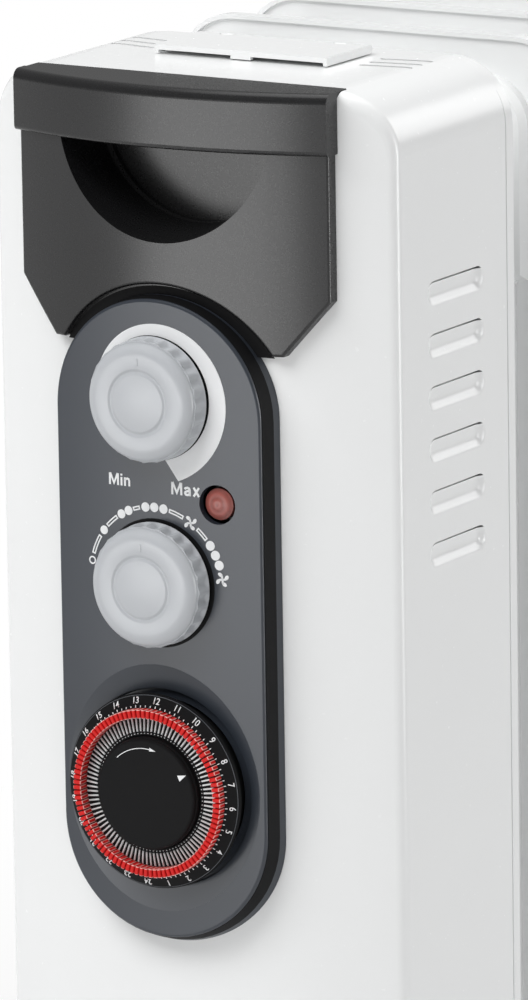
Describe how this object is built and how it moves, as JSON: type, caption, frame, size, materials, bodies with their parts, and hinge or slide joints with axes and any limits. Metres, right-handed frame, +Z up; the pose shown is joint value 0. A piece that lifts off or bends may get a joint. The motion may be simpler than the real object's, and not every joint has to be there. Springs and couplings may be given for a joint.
{
  "type": "oil filled radiator heater",
  "caption": "Oil filled radiator heater with a bowed white control box, dark carry handle, two knobs, pilot lamp and round day timer, on flat fins and castor feet.",
  "frame": {"origin": "floor level, at the middle of the heater's length and width", "axes": "+Z up, controls face -Y, the fins follow one another along +Y, X across"},
  "size_m": [0.26, 0.4384, 0.639],
  "materials": {
    "white_enamel": "gloss white baked enamel on sheet steel",
    "charcoal_abs": "charcoal polished ABS moulding",
    "slate_abs": "slate grey satin ABS moulding",
    "pale_grey_abs": "pale grey satin ABS knobs",
    "black_dial": "black dial moulding",
    "red_trippers": "red acetal trippers",
    "red_lens": "pink-red polycarbonate lens",
    "zinc_steel": "bright zinc plated steel",
    "heater_steel": "stainless heater tube and flange",
    "inner_plastic": "natural glass filled nylon",
    "black_nylon": "black moulded nylon"
  },
  "bodies": {
    "heater": {"blower_element": "inner_plastic", "blower_housing": "zinc_steel", "blower_motor": "zinc_steel", "box_cover": "white_enamel", "carry_handle": "charcoal_abs", "control_carrier": "zinc_steel", "control_panel": "slate_abs", "cord_gland": "black_nylon", "fin_1": "white_enamel", "fin_2": "white_enamel", "fin_3": "white_enamel", "fin_4": "white_enamel", "fin_5": "white_enamel", "fin_6": "white_enamel", "fin_7": "white_enamel", "fin_8": "white_enamel", "fin_9": "white_enamel", "flap_hinge_pin": "zinc_steel", "foot_u_bolts": "zinc_steel", "foot_wing_nuts": "zinc_steel", "front_foot": "white_enamel", "gallery_end_caps": "white_enamel", "heat_shield": "zinc_steel", "heater_flange": "heater_steel", "heater_tubes": "heater_steel", "lower_gallery_rings": "white_enamel", "oil_filler_plug": "zinc_steel", "pilot_lamp": "inner_plastic", "pilot_lens": "red_lens", "rear_foot": "white_enamel", "selector_switch": "inner_plastic", "terminal_block": "inner_plastic", "thermal_cutout": "inner_plastic", "thermostat_body": "inner_plastic", "timer_body": "inner_plastic", "timer_hub": "black_dial", "upper_gallery_rings": "white_enamel"},
    "thermostat_dial": {"thermostat_knob": "pale_grey_abs", "thermostat_spindle": "zinc_steel"},
    "selector_dial": {"selector_knob": "pale_grey_abs", "selector_spindle": "zinc_steel"},
    "timer_dial": {"timer_ring": "black_dial"},
    "flap": {"top_flap": "white_enamel"},
    "fan": {"blower_impeller": "black_nylon"},
    "trippers_night": {"timer_trippers_night": "red_trippers"},
    "trippers_morning": {"timer_trippers_morning": "red_trippers"},
    "trippers_afternoon": {"timer_trippers_afternoon": "red_trippers"},
    "trippers_evening": {"timer_trippers_evening": "red_trippers"},
    "castor_front_left": {"castor_fork_front_left": "black_nylon", "castor_axle_front_left": "zinc_steel"},
    "wheels_front_left": {"castor_wheels_front_left": "black_nylon"},
    "castor_front_right": {"castor_fork_front_right": "black_nylon", "castor_axle_front_right": "zinc_steel"},
    "wheels_front_right": {"castor_wheels_front_right": "black_nylon"},
    "castor_rear_left": {"castor_fork_rear_left": "black_nylon", "castor_axle_rear_left": "zinc_steel"},
    "wheels_rear_left": {"castor_wheels_rear_left": "black_nylon"},
    "castor_rear_right": {"castor_fork_rear_right": "black_nylon", "castor_axle_rear_right": "zinc_steel"},
    "wheels_rear_right": {"castor_wheels_rear_right": "black_nylon"}
  },
  "joints": [
    {"name": "thermostat_turn", "type": "hinge", "parent": "heater", "child": "thermostat_dial", "pos_m": [0, -0.2192, 0.5425], "axis": [0, -1, 0], "range_deg": [-135, 135]},
    {"name": "selector_turn", "type": "hinge", "parent": "heater", "child": "selector_dial", "pos_m": [0, -0.2192, 0.486], "axis": [0, -1, 0], "range_deg": [-90, 90]},
    {"name": "timer_turn", "type": "hinge", "parent": "heater", "child": "timer_dial", "pos_m": [0, -0.2118, 0.4228], "axis": [0, -1, 0], "continuous": true},
    {"name": "trippers_night_press", "type": "slide", "parent": "timer_dial", "child": "trippers_night", "axis": [0, 1, 0], "range_m": [0, 0.0024]},
    {"name": "trippers_morning_press", "type": "slide", "parent": "timer_dial", "child": "trippers_morning", "axis": [0, 1, 0], "range_m": [0, 0.0024]},
    {"name": "trippers_afternoon_press", "type": "slide", "parent": "timer_dial", "child": "trippers_afternoon", "axis": [0, 1, 0], "range_m": [0, 0.0024]},
    {"name": "trippers_evening_press", "type": "slide", "parent": "timer_dial", "child": "trippers_evening", "axis": [0, 1, 0], "range_m": [0, 0.0024]},
    {"name": "flap_hinge", "type": "hinge", "parent": "heater", "child": "flap", "pos_m": [0, -0.1307, 0.6377], "axis": [-1, 0, 0], "range_deg": [0, 85]},
    {"name": "fan_spin", "type": "hinge", "parent": "heater", "child": "fan", "pos_m": [-0.008, -0.1522, 0.286], "axis": [1, 0, 0], "continuous": true},
    {"name": "castor_front_left_swivel", "type": "hinge", "parent": "heater", "child": "castor_front_left", "pos_m": [-0.108, -0.0968, 0.049], "axis": [0, 0, 1], "continuous": true},
    {"name": "castor_front_left_roll", "type": "hinge", "parent": "castor_front_left", "child": "wheels_front_left", "pos_m": [-0.108, -0.0848, 0.02], "axis": [1, 0, 0], "continuous": true},
    {"name": "castor_front_right_swivel", "type": "hinge", "parent": "heater", "child": "castor_front_right", "pos_m": [0.108, -0.0968, 0.049], "axis": [0, 0, 1], "continuous": true},
    {"name": "castor_front_right_roll", "type": "hinge", "parent": "castor_front_right", "child": "wheels_front_right", "pos_m": [0.108, -0.0848, 0.02], "axis": [1, 0, 0], "continuous": true},
    {"name": "castor_rear_left_swivel", "type": "hinge", "parent": "heater", "child": "castor_rear_left", "pos_m": [-0.108, 0.1832, 0.049], "axis": [0, 0, 1], "continuous": true},
    {"name": "castor_rear_left_roll", "type": "hinge", "parent": "castor_rear_left", "child": "wheels_rear_left", "pos_m": [-0.108, 0.1952, 0.02], "axis": [1, 0, 0], "continuous": true},
    {"name": "castor_rear_right_swivel", "type": "hinge", "parent": "heater", "child": "castor_rear_right", "pos_m": [0.108, 0.1832, 0.049], "axis": [0, 0, 1], "continuous": true},
    {"name": "castor_rear_right_roll", "type": "hinge", "parent": "castor_rear_right", "child": "wheels_rear_right", "pos_m": [0.108, 0.1952, 0.02], "axis": [1, 0, 0], "continuous": true}
  ]
}
